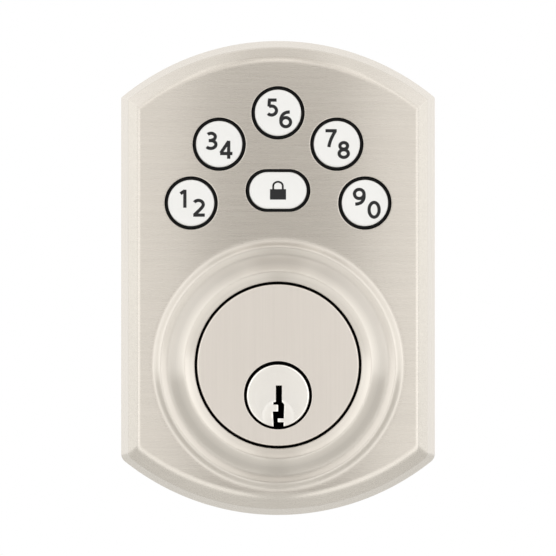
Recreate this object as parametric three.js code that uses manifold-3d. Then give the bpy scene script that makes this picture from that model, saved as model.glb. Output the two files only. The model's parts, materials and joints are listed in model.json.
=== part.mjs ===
// Keypad smart lock: the outside half of an electronic deadbolt, with its key cylinder and keypad.
// Millimetres. The door's outside face is the plane Y = 0, the front faces -Y, +Z is up, and the
// origin lies on the axis of the door's cross bore.

import * as THREE from 'three';
import { mergeVertices } from 'three/addons/utils/BufferGeometryUtils.js';
import Module from 'manifold-3d';

const wasm = await Module();
wasm.setup();

// ---- Driving dimensions ----------------------------------------------------------------------

const GAP = 0.3; // between pieces that rest on each other

const cover = {
  width: 69.85,
  height: 105.5,
  centreZ: 19.06,
  endRadius: 54.7, // of the arched top and bottom
  rimY: -1.5,
  wallTopY: -16.2,
  faceY: -19,
  faceThickness: 2,
  wallTopInset: 2,
  faceSideInset: 4.2,
  faceEndInset: 4.9,
  rimWall: 2.2,
  arcSteps: 12,
};
const innerFaceY = cover.faceY + cover.faceThickness;

const ring = { holeRadius: 18.25, steps: 44 };

const keyTravel = 0.8;
const key = { radius: 5.06, holeRadius: 5.83, crownY: -20, flangeRadius: 6.4, stemRadius: 2.3, steps: 24 };
const lockKey = { width: 12.55, height: 8.02, holeWidth: 14.2, holeHeight: 9.35 };
const roundKeys = [
  { name: 'key_1_2', x: -19.05, z: 35.5 },
  { name: 'key_3_4', x: -12.9, z: 48.4 },
  { name: 'key_5_6', x: 0, z: 55.27 },
  { name: 'key_7_8', x: 12.9, z: 48.4 },
  { name: 'key_9_0', x: 19.05, z: 35.5 },
];
const lockKeyPlace = { name: 'lock_key', x: 0, z: 38.25 };
const allKeys = [...roundKeys, lockKeyPlace];

// Depths of the keypad stack, each from its front to its back.
const stack = {
  collarFront: -18.7,
  mat: { front: -16.7, back: -16 },
  flange: { front: -15.7, back: -14.9 },
  carrierWall: { front: -15.7, back: -7.5 },
  carrierPlate: { front: -13.8, back: -12.6 },
  stemBack: -12.2,
  plunger: { front: -11.9, back: -9.7 },
  switchHousing: { front: -10.7, back: -7.5 },
  board: { front: -7.2, back: -5.6 },
};
const boardInset = 6.9;
const boardBottomZ = 24.5;
const carrierWall = 1.2;
const collar = { clearance: 0.14, wall: 0.45 }; // of the mat, round each key
const switchSide = 6;
const plungerRadius = 1.7;

// What is soldered on the board's back.
const chipFront = stack.board.back + GAP;
const chip = { width: 10, back: -4.3, bottomZ: 40, topZ: 50, x: -8 };
const buzzer = { radius: 4.5, back: -3.9, x: 12, z: 45 };
const header = { width: 12, back: -3.8, bottomZ: 27, topZ: 32 };

const plateScrews = [
  { name: 'back_plate_screw_top_left', x: -25.5, z: 55 },
  { name: 'back_plate_screw_top_right', x: 25.5, z: 55 },
  { name: 'back_plate_screw_bottom_left', x: -25.5, z: -17 },
  { name: 'back_plate_screw_bottom_right', x: 25.5, z: -17 },
];
const boardScrews = [
  { name: 'board_screw_left', x: -24, z: 27.5 },
  { name: 'board_screw_right', x: 24, z: 27.5 },
];
const boss = { plateRadius: 2.8, boardRadius: 2.3, holeRadius: 1.2, clearance: 0.6 };
const screwShankRadius = 1;
const screwHoleRadius = screwShankRadius + 0.35;

const backPlate = { front: -3.4, back: -1.8, inset: 3 };
const gasket = { front: -1.2, back: 0, outerInset: 0.3, innerInset: 5.5 };
const boreRing = { outerRadius: 26.2, innerRadius: 24.4, front: -1.5, back: 8 };
const post = { x: 19.4, radius: 3.5, threadRadius: 1.8, front: -1.5, back: 12, threadDepth: 11 };
const cablePort = { width: 11, bottomZ: 17.2, topZ: 22.8 };

const cylinder = { radius: 14.2, front: -18.1, back: 9, plateHole: 14.8, earFront: -6.5, earBack: -3.7 };
const cylinderScrews = [
  { name: 'cylinder_screw_upper', x: 12.4, z: 12.4 },
  { name: 'cylinder_screw_lower', x: -12.4, z: -12.4 },
];
const face = { radius: 17.7, front: -21.4, back: -18.4, plugHole: 7.42 };
const plug = {
  z: -6.7,
  headRadius: 6.83,
  radius: 6.35,
  boreRadius: 6.47,
  front: -22,
  shoulderY: -18.4,
  keywayBack: 5.5,
  threadRadius: 5.6,
  threadFront: 9.4,
  back: 12,
  steps: 24,
};
const pins = { count: 5, firstY: -14.5, pitch: 3.96, radius: 1.4, chamberRadius: 1.55, tipHeight: 0.8 };
const keyPinLengths = [4.6, 3.9, 5.2, 4.2, 4.9];
const driverPinLength = 4;
const shearZ = plug.z + plug.radius;
const keyPinTop = shearZ - 0.1;
const driverPin = { bottom: shearZ + 0.25, top: shearZ + 0.25 + driverPinLength };
const chamberTopZ = 12.4;
const strip = { width: 4.4, topZ: 13.7, overhang: 1.9 };
const dish = { radius: 3.6, floorRadius: 2.6, depth: 0.5, drop: 4.3 }; // round the key's mouth
const endCap = { radius: 7.3, innerRadius: 5.8, front: 9.4, floorY: 13.4, back: 14.4, holeRadius: 3.4 };
const tail = {
  headRadius: 4.9,
  headFront: 12.3,
  headBack: 13.1,
  width: 6,
  thickness: 1.5,
  tip: 50,
  barDepth: 1.2,
};
const bladeTurn = 90; // degrees that the tailpiece swings in the plug's end

// ---- Finishes ----------------------------------------------------------------------------------

const finish = (color, roughness, metalness) =>
  new THREE.MeshStandardMaterial({ color, roughness, metalness });
const satinNickel = finish('#beb5aa', 0.35, 1);
const brushedDisc = finish('#cdc4b8', 0.3, 1);
const plugMetal = finish('#dcd8d0', 0.25, 1);
const whiteKey = finish('#ededeb', 0.45, 0);
const blackSilicone = finish('#161616', 0.7, 0);
const blackFoam = finish('#1e1e1e', 0.95, 0);
const carrierPlastic = finish('#2a2c2e', 0.6, 0);
const boardGreen = finish('#1f5a34', 0.5, 0);
const partPlastic = finish('#101112', 0.5, 0);
const connectorPlastic = finish('#e6e0cf', 0.5, 0);
const zincSteel = finish('#b9bcc0', 0.4, 1);
const brass = finish('#c2a15a', 0.35, 1);
const springSteel = finish('#a9abad', 0.35, 1);

// ---- Solids and booleans -----------------------------------------------------------------------

function signedVolume(positions, triangles) {
  const corner = [new THREE.Vector3(), new THREE.Vector3(), new THREE.Vector3()];
  let sum = 0;
  for (let i = 0; i < triangles.length; i += 3) {
    corner.forEach((point, k) => point.fromArray(positions, 3 * triangles[i + k]));
    sum += corner[0].dot(corner[1].cross(corner[2])) / 6;
  }
  return sum;
}

// A closed BufferGeometry as a manifold solid, whichever way its faces were wound.
function toSolid(geometry) {
  const bare = new THREE.BufferGeometry();
  bare.setAttribute('position', geometry.getAttribute('position').clone());
  bare.setIndex(geometry.getIndex());
  const merged = mergeVertices(bare, 1e-4);
  const positions = merged.getAttribute('position').array;
  const index = merged.getIndex().array;
  const kept = [];
  for (let i = 0; i < index.length; i += 3) {
    const [a, b, c] = [index[i], index[i + 1], index[i + 2]];
    if (a !== b && b !== c && c !== a) kept.push(a, b, c);
  }
  if (signedVolume(positions, kept) < 0) kept.reverse();
  const mesh = new wasm.Mesh({
    numProp: 3,
    vertProperties: Float32Array.from(positions),
    triVerts: Uint32Array.from(kept),
  });
  return new wasm.Manifold(mesh);
}

function toGeometry(solid) {
  const { vertProperties, triVerts } = solid.getMesh();
  const geometry = new THREE.BufferGeometry();
  geometry.setAttribute('position', new THREE.Float32BufferAttribute(vertProperties, 3));
  geometry.setIndex(Array.from(triVerts));
  geometry.computeVertexNormals();
  return geometry;
}

const join = (...solids) => solids.reduce((whole, piece) => whole.add(piece));
const cut = (solid, ...tools) => tools.reduce((left, tool) => left.subtract(tool), solid);

// ---- Shapes ------------------------------------------------------------------------------------

// A flat shape, drawn with X to the right and Z up, made solid from depth front to depth back.
function prism(shape, front, back) {
  const geometry = new THREE.ExtrudeGeometry(shape, { depth: back - front, bevelEnabled: false });
  geometry.rotateX(Math.PI / 2);
  geometry.translate(0, back, 0);
  return toSolid(geometry);
}

// A profile of [radius, depth] pairs turned about the Y axis through (x, z).
function turned(profile, { x = 0, z = 0 } = {}, steps = 24) {
  const points = profile.map(([radius, depth]) => new THREE.Vector2(radius, depth));
  const geometry = new THREE.LatheGeometry(points, steps);
  geometry.translate(x, 0, z);
  return toSolid(geometry);
}

const rod = (radius, front, back, place, steps = 24) =>
  turned([[0, front], [radius, front], [radius, back], [0, back]], place, steps);

function tube(outerRadius, innerRadius, front, back, place, steps = 24) {
  const profile = [
    [innerRadius, front],
    [outerRadius, front],
    [outerRadius, back],
    [innerRadius, back],
    [innerRadius, front],
  ];
  return turned(profile, place, steps);
}

function box(width, front, back, bottomZ, topZ, x = 0) {
  const geometry = new THREE.BoxGeometry(width, back - front, topZ - bottomZ);
  geometry.translate(x, (front + back) / 2, (bottomZ + topZ) / 2);
  return toSolid(geometry);
}

// A round bar standing along Z.
function uprightRod(radius, bottomZ, topZ, y, steps = 12) {
  const geometry = new THREE.CylinderGeometry(radius, radius, topZ - bottomZ, steps);
  geometry.rotateX(Math.PI / 2);
  geometry.translate(0, y, (bottomZ + topZ) / 2);
  return toSolid(geometry);
}

// The cover's outline moved inwards: straight sides, arched ends; anticlockwise from the front.
function outline({ side, end }) {
  const halfWidth = cover.width / 2 - side;
  const radius = cover.endRadius - end;
  const arcCentre = cover.height / 2 - cover.endRadius;
  const halfAngle = Math.asin(halfWidth / radius);
  const points = [];
  for (const up of [1, -1]) {
    for (let i = 0; i <= cover.arcSteps; i += 1) {
      const angle = halfAngle * (1 - (2 * i) / cover.arcSteps);
      const x = up * radius * Math.sin(angle);
      const z = cover.centreZ + up * (arcCentre + radius * Math.cos(angle));
      points.push(new THREE.Vector2(x, z));
    }
  }
  return points;
}

const evenInset = (inset) => ({ side: inset, end: inset });

function stadium(width, height, { x, z }, steps = 8) {
  const radius = height / 2;
  const points = [];
  for (const side of [1, -1]) {
    for (let i = 0; i <= steps; i += 1) {
      const angle = -Math.PI / 2 + (Math.PI * i) / steps;
      const dx = side * (width / 2 - radius + radius * Math.cos(angle));
      points.push(new THREE.Vector2(x + dx, z + side * radius * Math.sin(angle)));
    }
  }
  return points;
}

// A solid skinned over sections with equal numbers of points, given from the front to the back.
function loft(sections) {
  const count = sections[0].points.length;
  const last = (sections.length - 1) * count;
  const positions = sections.flatMap(({ y, points }) => points.flatMap((p) => [p.x, y, p.y]));
  const triangles = [];
  for (let s = 0; s < sections.length - 1; s += 1) {
    for (let i = 0; i < count; i += 1) {
      const next = (i + 1) % count;
      const [front, frontNext] = [s * count + i, s * count + next];
      const [back, backNext] = [front + count, frontNext + count];
      triangles.push(front, back, backNext, front, backNext, frontNext);
    }
  }
  for (const [a, b, c] of THREE.ShapeUtils.triangulateShape(sections[0].points.slice(), [])) {
    triangles.push(a, b, c);
    triangles.push(last + a, last + c, last + b);
  }
  const geometry = new THREE.BufferGeometry();
  geometry.setAttribute('position', new THREE.Float32BufferAttribute(positions, 3));
  geometry.setIndex(triangles);
  return toSolid(geometry);
}

const flatPrism = (points, front, back) => prism(new THREE.Shape(points), front, back);

const group = new THREE.Group();
group.name = 'keypad_smart_lock';

function addPart(name, solid, material) {
  const mesh = new THREE.Mesh(toGeometry(solid), material);
  mesh.name = name;
  group.add(mesh);
}

// ---- Cover, back plate and door fixings ----------------------------------------------------------

// The raised double ring round the cylinder: a lip, a cove and an outer bead that fades into the face.
function doubleRing() {
  const base = cover.faceY + 0.8;
  const profile = [
    [ring.holeRadius, base],
    [ring.holeRadius, -20.9],
    [20.2, -22],
    [21.1, -21.9],
    [22.5, -20.2],
    [23.8, -19.5],
    [25, -20.3],
    [26.5, -20.2],
    [28.4, cover.faceY + 0.05],
    [28.4, base],
    [ring.holeRadius, base],
  ];
  return turned(profile, {}, ring.steps);
}

function escutcheon() {
  const outer = loft([
    { y: cover.faceY, points: outline({ side: cover.faceSideInset, end: cover.faceEndInset }) },
    { y: cover.wallTopY, points: outline(evenInset(cover.wallTopInset)) },
    { y: cover.rimY, points: outline(evenInset(0)) },
  ]);
  const cornerY = innerFaceY + 2.4;
  const hollow = loft([
    { y: innerFaceY, points: outline({ side: 6, end: 6.6 }) },
    { y: cornerY, points: outline(evenInset(4)) },
    { y: cover.rimY + 1, points: outline(evenInset(cover.rimWall)) },
  ]);
  const through = [cover.faceY - 5, innerFaceY + 1];
  const keyHoles = roundKeys.map((place) => rod(key.holeRadius, ...through, place, key.steps));
  const lockHole = flatPrism(stadium(lockKey.holeWidth, lockKey.holeHeight, lockKeyPlace), ...through);
  const cylinderHole = rod(ring.holeRadius, ...through, {}, ring.steps);
  const plateBosses = plateScrews.map((place) =>
    tube(boss.plateRadius, boss.holeRadius, innerFaceY - 0.4, backPlate.front - GAP, place, 12));
  const boardBosses = boardScrews.map((place) =>
    tube(boss.boardRadius, boss.holeRadius, innerFaceY - 0.4, stack.board.front - GAP, place, 12));
  const shell = join(cut(outer, hollow), doubleRing(), ...plateBosses, ...boardBosses);
  return cut(shell, ...keyHoles, lockHole, cylinderHole);
}

function doorGasket() {
  const outer = flatPrism(outline(evenInset(gasket.outerInset)), gasket.front, gasket.back);
  const inner = flatPrism(outline(evenInset(gasket.innerInset)), gasket.front - 1, gasket.back + 1);
  return cut(outer, inner);
}

function backPlateSolid() {
  const sheet = flatPrism(outline(evenInset(backPlate.inset)), backPlate.front, backPlate.back);
  const through = [backPlate.front - 1, backPlate.back + 1];
  const screwHoles = [...plateScrews, ...cylinderScrews].map((place) =>
    rod(screwHoleRadius, ...through, place, 12));
  const cylinderHole = rod(cylinder.plateHole, ...through, {}, 40);
  const port = box(cablePort.width, ...through, cablePort.bottomZ, cablePort.topZ);
  return cut(sheet, ...screwHoles, cylinderHole, port);
}

function boreRingSolid() {
  const { outerRadius, innerRadius, front, back } = boreRing;
  return tube(outerRadius, innerRadius, front, back, {}, 40);
}

function mountingPost(x) {
  const body = rod(post.radius, post.front, post.back, { x }, 16);
  return cut(body, rod(post.threadRadius, post.back - post.threadDepth, post.back + 1, { x }, 12));
}

// A pan-head screw driven towards -Y, with a cross recess in its head.
function screw(place, { headFront, headRadius, headHeight, tip }) {
  const headBack = headFront + headHeight;
  const body = turned(
    [
      [0, tip],
      [screwShankRadius - 0.3, tip],
      [screwShankRadius, tip + 0.5],
      [screwShankRadius, headFront],
      [headRadius, headFront],
      [headRadius, headBack - 0.5],
      [headRadius - 0.6, headBack],
      [0, headBack],
    ],
    place,
    12,
  );
  const recess = [headBack - 0.8, headBack + 1];
  const [long, wide] = [headRadius * 0.6, 0.35];
  const upright = box(2 * wide, ...recess, place.z - long, place.z + long, place.x);
  const level = box(2 * long, ...recess, place.z - wide, place.z + wide, place.x);
  return cut(body, upright, level);
}

addPart('escutcheon', escutcheon(), satinNickel);
addPart('door_gasket', doorGasket(), blackFoam);
addPart('back_plate', backPlateSolid(), zincSteel);
addPart('bore_ring', boreRingSolid(), carrierPlastic);
addPart('mounting_post_left', mountingPost(-post.x), zincSteel);
addPart('mounting_post_right', mountingPost(post.x), zincSteel);
for (const place of plateScrews) {
  const size = { headFront: backPlate.back + 0.2, headRadius: 2.6, headHeight: 1.4, tip: -12 };
  addPart(place.name, screw(place, size), zincSteel);
}

// ---- Keypad ------------------------------------------------------------------------------------

// The area behind the keys: the cover's arched top, with a straight lower edge.
function boardArea(inset, front, back) {
  const whole = flatPrism(outline(evenInset(inset)), front, back);
  return cut(whole, box(cover.width, front - 1, back + 1, -cover.height, boardBottomZ));
}

const bossHoles = (front, back) => [
  ...plateScrews.map((place) => rod(boss.plateRadius + boss.clearance, front - 1, back + 1, place, 16)),
  ...boardScrews.map((place) => rod(boss.boardRadius + boss.clearance, front - 1, back + 1, place, 16)),
];

function keypadMat() {
  const { front, back } = stack.mat;
  const sheet = cut(boardArea(boardInset, front, back), ...bossHoles(front, back));
  const bore = [stack.collarFront - 1, back + 1];
  const inside = collar.clearance;
  const outside = collar.clearance + collar.wall;
  const collars = roundKeys.map((place) =>
    rod(key.radius + outside, stack.collarFront, back, place, key.steps));
  const bores = roundKeys.map((place) => rod(key.radius + inside, ...bore, place, key.steps));
  const lockCollar = stadium(lockKey.width + 2 * outside, lockKey.height + 2 * outside, lockKeyPlace);
  const lockBore = stadium(lockKey.width + 2 * inside, lockKey.height + 2 * inside, lockKeyPlace);
  const raised = join(sheet, ...collars, flatPrism(lockCollar, stack.collarFront, back));
  return cut(raised, ...bores, flatPrism(lockBore, ...bore));
}

// A tray that presses the mat's edge against the cover, guides the key stems and carries the board.
function keypadCarrier() {
  const { front, back } = stack.carrierWall;
  const outer = boardArea(boardInset, front, back);
  const space = cut(
    flatPrism(outline(evenInset(boardInset + carrierWall)), front - 1, back + 1),
    box(cover.width, front - 2, back + 2, -cover.height, boardBottomZ + carrierWall),
  );
  const plate = boardArea(boardInset, stack.carrierPlate.front, stack.carrierPlate.back);
  const guides = allKeys.map((place) => rod(key.stemRadius + 0.3, front, back, place, 16));
  return cut(join(cut(outer, space), plate), ...guides, ...bossHoles(front, back));
}

function circuitBoard() {
  const { front, back } = stack.board;
  const sheet = boardArea(boardInset, front, back);
  const notches = plateScrews.map((place) =>
    rod(boss.plateRadius + boss.clearance, front - 1, back + 1, place, 16));
  const holes = boardScrews.map((place) => rod(screwHoleRadius, front - 1, back + 1, place, 12));
  return cut(sheet, ...notches, ...holes);
}

// A crowned cap with a flange that keeps it in the cover and a stem that reaches the switch.
function roundKey(place) {
  const { flange } = stack;
  const profile = [
    [0, key.crownY],
    [4, key.crownY + 0.1],
    [key.radius, key.crownY + 0.6],
    [key.radius, flange.front],
    [key.flangeRadius, flange.front],
    [key.flangeRadius, flange.back],
    [key.stemRadius, flange.back],
    [key.stemRadius, stack.stemBack],
    [0, stack.stemBack],
  ];
  return turned(profile, place, key.steps);
}

function stadiumKey() {
  const { width, height } = lockKey;
  const edge = 0.7;
  const cap = loft([
    { y: key.crownY, points: stadium(width - 2 * edge, height - 2 * edge, lockKeyPlace) },
    { y: key.crownY + 0.5, points: stadium(width, height, lockKeyPlace) },
    { y: stack.flange.back, points: stadium(width, height, lockKeyPlace) },
  ]);
  const flange = stadium(width + 2.6, height + 2.6, lockKeyPlace);
  const stem = rod(key.stemRadius, stack.flange.back - 0.5, stack.stemBack, lockKeyPlace, 16);
  return join(cap, flatPrism(flange, stack.flange.front, stack.flange.back), stem);
}

function switchHousing({ x, z }) {
  const { front, back } = stack.switchHousing;
  const well = rod(plungerRadius + 0.3, front - 1, stack.plunger.back + keyTravel + 0.6, { x, z }, 12);
  return cut(box(switchSide, front, back, z - switchSide / 2, z + switchSide / 2, x), well);
}

addPart('keypad_mat', keypadMat(), blackSilicone);
addPart('keypad_carrier', keypadCarrier(), carrierPlastic);
addPart('circuit_board', circuitBoard(), boardGreen);
for (const place of roundKeys) {
  addPart(place.name, roundKey(place), whiteKey);
}
addPart(lockKeyPlace.name, stadiumKey(), whiteKey);
for (const place of allKeys) {
  const { front, back } = stack.plunger;
  addPart(`switch_housing_${place.name}`, switchHousing(place), partPlastic);
  addPart(`switch_plunger_${place.name}`, rod(plungerRadius, front, back, place, 12), partPlastic);
}
addPart(
  'controller_chip',
  box(chip.width, chipFront, chip.back, chip.bottomZ, chip.topZ, chip.x),
  partPlastic,
);
addPart('buzzer', rod(buzzer.radius, chipFront, buzzer.back, buzzer, 16), partPlastic);
addPart(
  'cable_header',
  box(header.width, chipFront, header.back, header.bottomZ, header.topZ),
  connectorPlastic,
);
for (const place of boardScrews) {
  const size = { headFront: stack.board.back + 0.2, headRadius: 2, headHeight: 1.2, tip: -13 };
  addPart(place.name, screw(place, size), zincSteel);
}

// ---- Key cylinder ------------------------------------------------------------------------------

const pinDepths = Array.from({ length: pins.count }, (_, i) => pins.firstY + i * pins.pitch);
const stripSpan = (overhang) => [pinDepths[0] - overhang, pinDepths[pins.count - 1] + overhang];

function cylinderFace() {
  const edge = 0.4;
  const profile = [
    [0, face.front],
    [face.radius - edge, face.front],
    [face.radius, face.front + edge],
    [face.radius, face.back],
    [0, face.back],
  ];
  const disc = turned(profile, {}, ring.steps);
  return cut(disc, rod(face.plugHole, face.front - 1, face.back + 1, { z: plug.z }, plug.steps));
}

// The ear that a screw through the back plate pulls the cylinder home by.
function cylinderEar({ x, z }) {
  const width = 6.4;
  const reach = Math.hypot(x, z) + width / 2;
  const arm = stadium(2 * reach, width, { x: 0, z: 0 }, 8);
  const half = cut(
    flatPrism(arm, cylinder.earFront, cylinder.earBack),
    box(2 * reach, cylinder.earFront - 1, cylinder.earBack + 1, -width, width, -reach),
  );
  return half.rotate([0, (-Math.atan2(z, x) * 180) / Math.PI, 0]);
}

function cylinderHousing() {
  const body = rod(cylinder.radius, cylinder.front, cylinder.back, {}, 40);
  const ears = cylinderScrews.map(cylinderEar);
  const bore = rod(plug.boreRadius, cylinder.front - 1, cylinder.back + 1, { z: plug.z }, plug.steps);
  const chambers = pinDepths.map((y) => uprightRod(pins.chamberRadius, plug.z, cylinder.radius + 1, y));
  const [slotFront, slotBack] = stripSpan(strip.overhang + GAP);
  const stripSlot = box(strip.width + 2 * GAP, slotFront, slotBack, chamberTopZ, cylinder.radius + 1);
  const screwHoles = cylinderScrews.map((place) =>
    rod(boss.holeRadius, cylinder.earFront - 1, cylinder.earBack + 1, place, 12));
  return cut(join(body, ...ears), bore, ...chambers, stripSlot, ...screwHoles);
}

// The keyway's section about the plug's centre: a narrow blade slot over a wider warded one.
function keywaySection() {
  const corners = [
    [-0.48, 2.27],
    [-0.48, -1.35],
    [-1.03, -1.42],
    [-1.03, -2.03],
    [0.02, -2.03],
    [0.02, -3.43],
    [-1.15, -3.43],
    [-0.92, -plug.headRadius - 1],
    [1.2, -plug.headRadius - 1],
    [1.25, -5.77],
    [-0.04, -5.77],
    [-0.04, -4.96],
    [1.3, -4.96],
    [1.38, -1.92],
    [0.87, -1.3],
    [0.87, 2.27],
  ];
  return corners.map(([x, z]) => new THREE.Vector2(x, plug.z + z));
}

// The diametral bar by which the plug turns the tailpiece, at an angle from upright.
function driveBar(degrees, grow, front, back) {
  const bar = box(1.8 + 2 * grow, front, back, -4.2 - grow, 4.2 + grow);
  return bar.rotate([0, degrees, 0]).translate([0, 0, plug.z]);
}

function plugSolid() {
  const place = { z: plug.z };
  const profile = [
    [0, plug.front],
    [plug.headRadius - 0.25, plug.front],
    [plug.headRadius, plug.front + 0.25],
    [plug.headRadius, plug.shoulderY],
    [plug.radius, plug.shoulderY],
    [plug.radius, plug.threadFront - 0.3],
    [plug.threadRadius, plug.threadFront - 0.3],
    [plug.threadRadius, plug.back],
    [0, plug.back],
  ];
  const body = turned(profile, place, plug.steps);
  const keyway = flatPrism(keywaySection(), plug.front - 1, plug.keywayBack);
  const dishProfile = [
    [0, plug.front - 1],
    [dish.radius, plug.front - 1],
    [dish.radius, plug.front],
    [dish.floorRadius, plug.front + dish.depth],
    [0, plug.front + dish.depth],
  ];
  const mouth = turned(dishProfile, { z: plug.z - dish.drop }, 16);
  const chamberTop = plug.z + plug.radius + 1;
  const chambers = pinDepths.map((y) => uprightRod(pins.chamberRadius, plug.z + 0.6, chamberTop, y));
  // The bow-tie recess that lets the tailpiece swing a quarter turn before the plug picks it up.
  const swing = 4;
  const sweep = Array.from({ length: swing + 1 }, (_, i) =>
    driveBar((bladeTurn * i) / swing, 0.15, plug.back - tail.barDepth - GAP, plug.back + 1));
  return cut(body, keyway, mouth, ...chambers, ...sweep);
}

// The cup screwed on the plug's end, which holds the tailpiece's head.
function plugEndCap() {
  const cup = rod(endCap.radius, endCap.front, endCap.back, { z: plug.z }, plug.steps);
  return cut(
    cup,
    rod(endCap.innerRadius, endCap.front - 1, endCap.floorY, { z: plug.z }, plug.steps),
    rod(endCap.holeRadius, endCap.floorY - 1, endCap.back + 1, { z: plug.z }, 16),
  );
}

function tailpiece() {
  const head = rod(tail.headRadius, tail.headFront, tail.headBack, { z: plug.z }, 16);
  const bar = driveBar(0, 0, tail.headFront - tail.barDepth, tail.headFront + 0.1);
  const half = tail.width / 2;
  const blade = [
    new THREE.Vector2(tail.headBack - 0.1, -half),
    new THREE.Vector2(tail.tip - 2, -half),
    new THREE.Vector2(tail.tip, -half + 1.6),
    new THREE.Vector2(tail.tip, half - 1.6),
    new THREE.Vector2(tail.tip - 2, half),
    new THREE.Vector2(tail.headBack - 0.1, half),
  ];
  const geometry = new THREE.ExtrudeGeometry(new THREE.Shape(blade), {
    depth: tail.thickness,
    bevelEnabled: false,
  });
  // The shape is drawn with Y to the right and Z up, and gains its thickness along X.
  const [x, y, z] = [0, 1, 2].map((axis) => new THREE.Vector3().setComponent(axis, 1));
  geometry.applyMatrix4(new THREE.Matrix4().makeBasis(y, z, x));
  geometry.translate(-tail.thickness / 2, 0, plug.z);
  return join(head, bar, toSolid(geometry));
}

class Helix extends THREE.Curve {
  constructor(radius, bottomZ, topZ, turns, y) {
    super();
    Object.assign(this, { radius, bottomZ, topZ, turns, y });
  }

  getPoint(t, target = new THREE.Vector3()) {
    const angle = 2 * Math.PI * this.turns * t;
    const z = THREE.MathUtils.lerp(this.bottomZ, this.topZ, t);
    return target.set(this.radius * Math.cos(angle), this.y + this.radius * Math.sin(angle), z);
  }
}

function pinSpring(y, bottomZ) {
  const wire = 0.2;
  const turns = 4;
  const path = new Helix(1.1, bottomZ + wire, chamberTopZ - GAP - wire, turns, y);
  const section = new THREE.Shape();
  section.absarc(0, 0, wire, 0, 2 * Math.PI);
  const options = { steps: 9 * turns, curveSegments: 2, extrudePath: path };
  return toSolid(new THREE.ExtrudeGeometry(section, options));
}

// A pin with a tapered tip, whose top ends just inside the plug.
function keyPin(y, length) {
  const bottom = keyPinTop - length;
  const tip = new THREE.CylinderGeometry(pins.radius, 0.5, pins.tipHeight, 12);
  tip.rotateX(Math.PI / 2);
  tip.translate(0, y, bottom + pins.tipHeight / 2);
  return join(uprightRod(pins.radius, bottom + pins.tipHeight - 0.05, keyPinTop, y), toSolid(tip));
}

// The strip that closes the chambers over the springs.
function chamberStrip() {
  const [front, back] = stripSpan(strip.overhang);
  return box(strip.width, front, back, chamberTopZ + 0.1, strip.topZ);
}

addPart('cylinder_face', cylinderFace(), brushedDisc);
addPart('cylinder_housing', cylinderHousing(), brass);
addPart('plug', plugSolid(), plugMetal);
pinDepths.forEach((y, i) => {
  addPart(`key_pin_${i + 1}`, keyPin(y, keyPinLengths[i]), brass);
  addPart(`driver_pin_${i + 1}`, uprightRod(pins.radius, driverPin.bottom, driverPin.top, y), zincSteel);
  addPart(`pin_spring_${i + 1}`, pinSpring(y, driverPin.top + 0.1), springSteel);
});
addPart('pin_chamber_strip', chamberStrip(), brass);
addPart('plug_end_cap', plugEndCap(), brass);
addPart('tailpiece', tailpiece(), zincSteel);
for (const place of cylinderScrews) {
  const size = { headFront: backPlate.back + 0.2, headRadius: 2.1, headHeight: 1.2, tip: -6.3 };
  addPart(place.name, screw(place, size), zincSteel);
}

export default group;
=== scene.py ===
"""The looks of a keypad door lock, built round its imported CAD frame.

Lengths in this script are millimetres until a mesh is written, which is in metres. The front faces
-Y, +Z is up, and the door's outside face is Y = 0.
"""

import json
import math

import bmesh
import bpy
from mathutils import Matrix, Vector
from mathutils.geometry import tessellate_polygon


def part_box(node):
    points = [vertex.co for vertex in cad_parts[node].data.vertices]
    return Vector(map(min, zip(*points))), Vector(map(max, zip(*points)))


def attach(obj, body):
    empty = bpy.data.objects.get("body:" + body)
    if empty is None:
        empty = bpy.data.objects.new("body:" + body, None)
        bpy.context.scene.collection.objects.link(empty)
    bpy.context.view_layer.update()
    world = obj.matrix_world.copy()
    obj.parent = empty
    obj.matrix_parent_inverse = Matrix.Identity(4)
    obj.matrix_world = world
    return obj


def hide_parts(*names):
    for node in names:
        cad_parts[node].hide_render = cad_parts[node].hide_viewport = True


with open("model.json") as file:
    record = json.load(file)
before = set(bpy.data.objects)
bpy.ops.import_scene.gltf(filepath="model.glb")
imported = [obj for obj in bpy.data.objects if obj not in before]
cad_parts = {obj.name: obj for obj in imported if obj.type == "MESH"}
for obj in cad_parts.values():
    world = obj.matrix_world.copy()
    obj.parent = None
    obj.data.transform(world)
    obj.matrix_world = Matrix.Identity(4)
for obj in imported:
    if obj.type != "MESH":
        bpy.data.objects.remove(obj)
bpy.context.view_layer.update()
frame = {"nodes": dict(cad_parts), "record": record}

MM = 0.001
TAU = 2 * math.pi
WELD = 1e-6  # metres; points closer than this are one point
SHARP = 35  # degrees between faces from which the edge of a carved piece counts as sharp


# ---- Places and sizes from the frame ----


def span(node):
    """The lowest and highest corner of a CAD node, in millimetres."""
    low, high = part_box(node)
    return low / MM, high / MM


def middle(node):
    low, high = span(node)
    return (low + high) / 2


COVER_LOW, COVER_HIGH = span("escutcheon")
HALF_WIDTH = (COVER_HIGH.x - COVER_LOW.x) / 2
HALF_HEIGHT = (COVER_HIGH.z - COVER_LOW.z) / 2
COVER_Z = (COVER_HIGH.z + COVER_LOW.z) / 2
RIM_Y = COVER_HIGH.y
FRONT_Y = COVER_LOW.y  # the crest of the ring round the cylinder
FACE_Y = FRONT_Y + 3
INNER_Y = FACE_Y + 2  # the back of the cover's front wall
WALL_TOP_Y = FACE_Y + 2.8
WALL_INSET = 2.0  # from the rim to the top of the side walls
END_RADIUS = 54.7
TOP_CORNER, BOTTOM_CORNER = 0.6, 2.2  # radii where the walls meet the arched ends

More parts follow.
